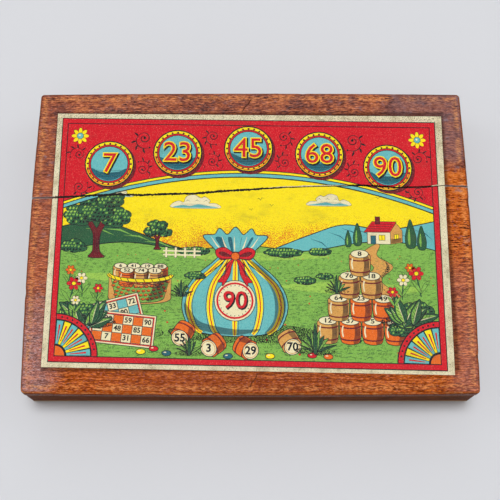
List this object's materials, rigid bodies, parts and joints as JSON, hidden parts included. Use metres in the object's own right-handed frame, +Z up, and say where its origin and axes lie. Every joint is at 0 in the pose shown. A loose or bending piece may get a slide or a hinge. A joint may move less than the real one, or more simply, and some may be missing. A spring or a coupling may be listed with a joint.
{
  "type": "lotto game set",
  "caption": "Lotto game in a shallow hinged wooden box with a pasted picture label, holding number cards, turned number kegs, glass counters and a folded draw bag.",
  "frame": {"origin": "middle of the box's footprint, on the surface it stands on", "axes": "+X along the front of the box to the viewer's right, +Y from the front to the hinged back, +Z up"},
  "size_m": [0.285, 0.204, 0.0385],
  "materials": {
    "box_wood": "dark brown stain under polish outside, pale wood inside",
    "bottom_wood": "plain, unpolished",
    "inner_wood": "plain, unpolished",
    "lid_wood": "orange-brown polish, worn and crazed",
    "label_paper": "printed and varnished",
    "card_board": "printed pasteboard",
    "keg_wood": "turned, plain",
    "brass": "tarnished",
    "steel": "dull",
    "glass_red": "clear, coloured through",
    "glass_amber": "clear, coloured through",
    "glass_blue": "clear, coloured through",
    "bag_cotton": "unbleached cotton",
    "cord_cotton": "twisted cotton"
  },
  "bodies": {
    "base": {"front_wall": "box_wood", "back_wall": "box_wood", "left_wall": "box_wood", "right_wall": "box_wood", "bottom_board": "bottom_wood", "card_divider": "inner_wood", "counter_divider": "inner_wood", "bottom_brads": "steel", "hinge_base_leaf_left": "brass", "hinge_base_leaf_right": "brass", "hinge_pin_left": "brass", "hinge_pin_right": "brass", "hinge_base_screws": "brass", "card_01": "card_board", "card_02": "card_board", "card_03": "card_board", "card_04": "card_board", "card_05": "card_board", "card_06": "card_board", "card_07": "card_board", "card_08": "card_board", "card_09": "card_board", "card_10": "card_board", "card_11": "card_board", "card_12": "card_board", "card_13": "card_board", "card_14": "card_board", "card_15": "card_board", "card_16": "card_board", "card_17": "card_board", "card_18": "card_board", "card_19": "card_board", "card_20": "card_board", "card_21": "card_board", "card_22": "card_board", "card_23": "card_board", "card_24": "card_board", "kegs_01_to_10": "keg_wood", "kegs_11_to_20": "keg_wood", "kegs_21_to_30": "keg_wood", "kegs_31_to_40": "keg_wood", "kegs_41_to_50": "keg_wood", "kegs_51_to_60": "keg_wood", "kegs_61_to_70": "keg_wood", "kegs_71_to_80": "keg_wood", "kegs_81_to_90": "keg_wood", "counters_red": "glass_red", "counters_amber": "glass_amber", "counters_blue": "glass_blue", "draw_bag": "bag_cotton", "drawstring": "cord_cotton"},
    "lid": {"lid_board": "lid_wood", "lid_label": "label_paper", "lid_batten_left": "inner_wood", "lid_batten_right": "inner_wood", "batten_screws": "brass", "hinge_lid_leaf_left": "brass", "hinge_lid_leaf_right": "brass", "hinge_lid_screws": "brass"}
  },
  "joints": [
    {"name": "lid_hinge", "type": "hinge", "parent": "base", "child": "lid", "pos_m": [0, 0.1005, 0.0301], "axis": [-1, 0, 0], "range_deg": [0, 105]}
  ]
}
